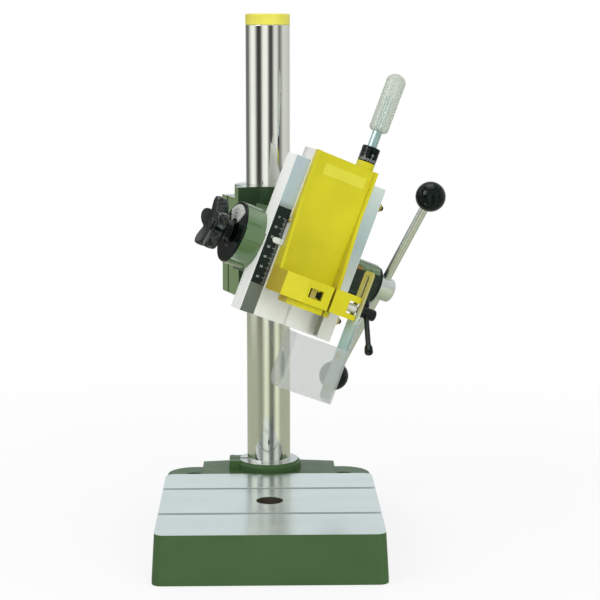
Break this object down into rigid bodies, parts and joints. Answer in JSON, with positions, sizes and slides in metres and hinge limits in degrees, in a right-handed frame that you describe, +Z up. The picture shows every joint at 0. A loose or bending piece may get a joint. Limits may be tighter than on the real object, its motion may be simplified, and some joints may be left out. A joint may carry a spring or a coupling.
{
  "type": "drill stand",
  "caption": "Bench drill stand: slotted table, round column, tilting head with rack feed and lever, split tool collar, fine feed and clear guard.",
  "frame": {"origin": "on the column axis, on the underside of the base", "axes": "+Z up along the column, -Y towards the front of the table, +X to the right seen from the front"},
  "size_m": [0.2825, 0.2895, 0.511],
  "materials": {
    "green_paint": "semi-gloss enamel on a casting, with the table milled bare",
    "chrome": "bright chrome",
    "yellow_plastic": "moulded",
    "yellow_paint": "satin enamel on a die casting",
    "aluminium": "milled",
    "steel": "bright turned",
    "black_steel": "black oxide",
    "black_plastic": "polished phenolic",
    "scale_black": "printed film",
    "yellow_zinc": "yellow chromated zinc",
    "bronze": "bearing bronze",
    "pale_plastic": "fine satin",
    "clear_plastic": "clear sheet"
  },
  "bodies": {
    "base": {"base_casting": "green_paint", "base_clamp_screw": "steel"},
    "column": {"column": "chrome", "column_cap": "yellow_plastic"},
    "bracket": {"column_bracket": "green_paint", "bracket_clamp_screws": "steel", "swivel_lock_screw": "steel"},
    "head": {"swivel_casting": "green_paint", "guide_plate": "aluminium", "guide_screws": "steel", "gib": "steel", "gib_screws": "black_steel", "gib_locknuts": "yellow_zinc", "depth_scale": "scale_black", "spring_cap": "black_plastic", "cap_insert": "pale_plastic", "return_spring": "steel", "shaft_bushes": "bronze", "stop_pin": "bronze"},
    "lock": {"lock_knob": "black_plastic", "lock_stud": "steel"},
    "slide": {"dovetail_slide": "aluminium", "rack": "steel", "rack_screws": "steel", "fine_feed_nut": "bronze"},
    "holder": {"tool_holder": "yellow_paint", "label_plate": "yellow_paint", "clamp_nut": "yellow_zinc", "pointer": "clear_plastic", "pointer_screw": "yellow_zinc"},
    "spindle": {"feed_spindle": "steel", "feed_dial": "black_plastic", "feed_grip": "pale_plastic"},
    "clamp": {"clamp_screw": "steel", "clamp_spacer": "steel", "clamp_head": "black_steel"},
    "tommy": {"tommy_bar": "black_steel", "tommy_caps": "black_plastic"},
    "guard": {"shield_strap": "yellow_zinc", "shield": "clear_plastic", "shield_screws": "yellow_zinc"},
    "feed_shaft": {"pinion_shaft": "steel", "feed_pinion": "steel", "stop_ring": "steel", "ring_grub": "black_steel", "friction_disc": "black_steel", "lever_hub": "chrome", "hub_screw": "black_steel", "lever_rod": "chrome", "lever_balls": "black_plastic"}
  },
  "joints": [
    {"name": "column_turn", "type": "hinge", "parent": "base", "child": "column", "pos_m": [0, 0, 0.03], "axis": [0, 0, 1], "continuous": true},
    {"name": "bracket_lift", "type": "slide", "parent": "column", "child": "bracket", "axis": [0, 0, 1], "range_m": [-0.075, 0.155]},
    {"name": "head_tilt", "type": "hinge", "parent": "bracket", "child": "head", "pos_m": [0, 0, 0.275], "axis": [-0.342, 0.9397, 0], "range_deg": [-112, 68]},
    {"name": "lock_turn", "type": "hinge", "parent": "head", "child": "lock", "pos_m": [-0.0601, -0.10488, 0.31339], "axis": [-0.8713, -0.3171, 0.3746], "range_deg": [0, 180]},
    {"name": "feed_slide", "type": "slide", "parent": "head", "child": "slide", "axis": [-0.352, -0.1281, -0.9272], "range_m": [0, 0.065], "stiffness_N_per_m": 220, "springref_m": -0.12},
    {"name": "feed_turn", "type": "hinge", "parent": "head", "child": "feed_shaft", "pos_m": [0.02703, -0.07317, 0.27593], "axis": [0.8713, 0.3171, -0.3746], "range_deg": [-0.5, 226.5]},
    {"name": "fine_feed", "type": "slide", "parent": "slide", "child": "holder", "axis": [-0.352, -0.1281, -0.9272], "range_m": [-0.004, 0.003]},
    {"name": "spindle_turn", "type": "hinge", "parent": "holder", "child": "spindle", "pos_m": [0.09174, -0.08154, 0.35929], "axis": [-0.352, -0.1281, -0.9272], "range_deg": [-721, 541]},
    {"name": "clamp_turn", "type": "hinge", "parent": "holder", "child": "clamp", "pos_m": [0.0816, -0.14642, 0.23406], "axis": [0.8713, 0.3171, -0.3746], "range_deg": [0, 270]},
    {"name": "tommy_slide", "type": "slide", "parent": "clamp", "child": "tommy", "axis": [-0.0101, 0.7746, 0.6323], "range_m": [0, 0.034]},
    {"name": "guard_slide", "type": "slide", "parent": "holder", "child": "guard", "axis": [-0.352, -0.1281, -0.9272], "range_m": [-0.0035, 0.031]}
  ],
  "couplings": [
    {"joint": "feed_turn", "follows": "feed_slide", "rad_per_m": 60.606},
    {"joint": "spindle_turn", "follows": "fine_feed", "rad_per_m": 3141.6}
  ]
}
